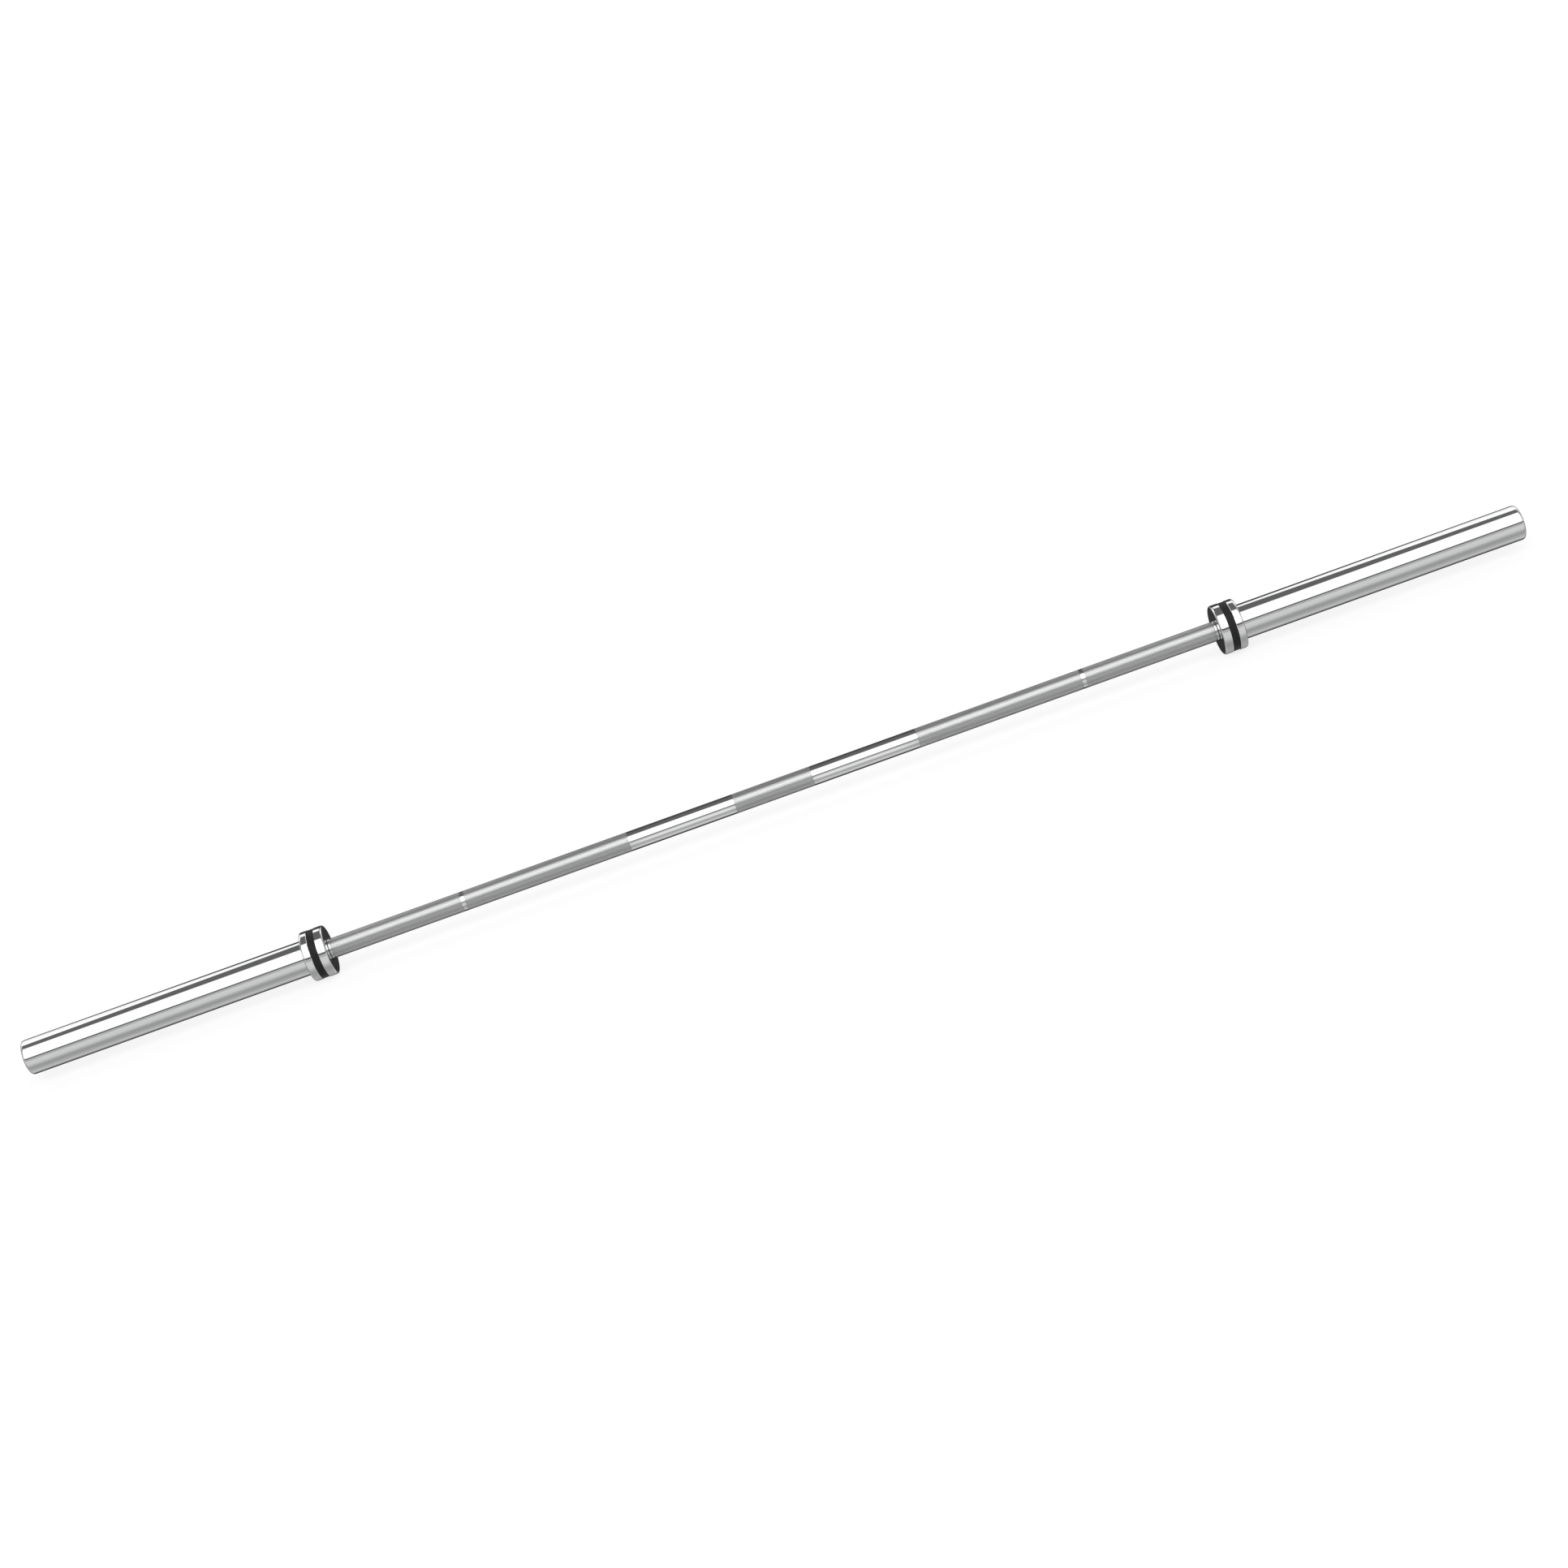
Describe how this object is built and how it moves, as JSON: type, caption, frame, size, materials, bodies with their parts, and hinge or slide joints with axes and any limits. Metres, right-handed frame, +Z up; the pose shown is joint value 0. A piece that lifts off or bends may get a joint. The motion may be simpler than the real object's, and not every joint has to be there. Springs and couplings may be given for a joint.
{
  "type": "olympic barbell",
  "caption": "Straight chrome weightlifting bar: a knurled grip shaft with smooth sleeves that turn on bearings, each with a round collar and a black rubber band.",
  "frame": {"origin": "middle of the bar's length, on its axis", "axes": "+X along the bar towards its right end, +Z up, with the bar lying level"},
  "size_m": [2.2, 0.0714, 0.0715],
  "materials": {
    "chrome": "polished hard chrome, knurled at the grip",
    "band_rubber": "smooth black rubber",
    "bronze": "turned bearing bronze",
    "bearing_steel": "ground bearing steel, oiled",
    "spring_steel": "blackened spring steel"
  },
  "bodies": {
    "shaft": {"shaft": "chrome", "left_thrust_ring": "chrome", "left_end_washer": "bronze", "left_retaining_ring": "spring_steel", "right_thrust_ring": "chrome", "right_end_washer": "bronze", "right_retaining_ring": "spring_steel"},
    "left_sleeve_assembly": {"left_sleeve": "chrome", "left_collar": "chrome", "left_collar_band": "band_rubber", "left_inner_bush": "bronze", "left_inner_bearing_cup": "bearing_steel", "left_outer_bearing_cup": "bearing_steel", "left_end_cap": "chrome", "left_cap_ring": "spring_steel"},
    "left_inner_rollers": {"left_inner_bearing_cage": "bearing_steel", "left_inner_needles": "bearing_steel"},
    "left_outer_rollers": {"left_outer_bearing_cage": "bearing_steel", "left_outer_needles": "bearing_steel"},
    "right_sleeve_assembly": {"right_sleeve": "chrome", "right_collar": "chrome", "right_collar_band": "band_rubber", "right_inner_bush": "bronze", "right_inner_bearing_cup": "bearing_steel", "right_outer_bearing_cup": "bearing_steel", "right_end_cap": "chrome", "right_cap_ring": "spring_steel"},
    "right_inner_rollers": {"right_inner_bearing_cage": "bearing_steel", "right_inner_needles": "bearing_steel"},
    "right_outer_rollers": {"right_outer_bearing_cage": "bearing_steel", "right_outer_needles": "bearing_steel"}
  },
  "joints": [
    {"name": "left_sleeve_spin", "type": "hinge", "parent": "shaft", "child": "left_sleeve_assembly", "pos_m": [-0.89225, 0, 0], "axis": [1, 0, 0], "continuous": true},
    {"name": "left_inner_roller_spin", "type": "hinge", "parent": "shaft", "child": "left_inner_rollers", "pos_m": [-0.89225, 0, 0], "axis": [1, 0, 0], "continuous": true},
    {"name": "left_outer_roller_spin", "type": "hinge", "parent": "shaft", "child": "left_outer_rollers", "pos_m": [-0.89225, 0, 0], "axis": [1, 0, 0], "continuous": true},
    {"name": "right_sleeve_spin", "type": "hinge", "parent": "shaft", "child": "right_sleeve_assembly", "pos_m": [0.89225, 0, 0], "axis": [1, 0, 0], "continuous": true},
    {"name": "right_inner_roller_spin", "type": "hinge", "parent": "shaft", "child": "right_inner_rollers", "pos_m": [0.89225, 0, 0], "axis": [1, 0, 0], "continuous": true},
    {"name": "right_outer_roller_spin", "type": "hinge", "parent": "shaft", "child": "right_outer_rollers", "pos_m": [0.89225, 0, 0], "axis": [1, 0, 0], "continuous": true}
  ],
  "couplings": [
    {"joint": "left_inner_roller_spin", "follows": "left_sleeve_spin", "ratio": 0.54546},
    {"joint": "left_outer_roller_spin", "follows": "left_sleeve_spin", "ratio": 0.54546},
    {"joint": "right_inner_roller_spin", "follows": "right_sleeve_spin", "ratio": 0.54546},
    {"joint": "right_outer_roller_spin", "follows": "right_sleeve_spin", "ratio": 0.54546}
  ]
}
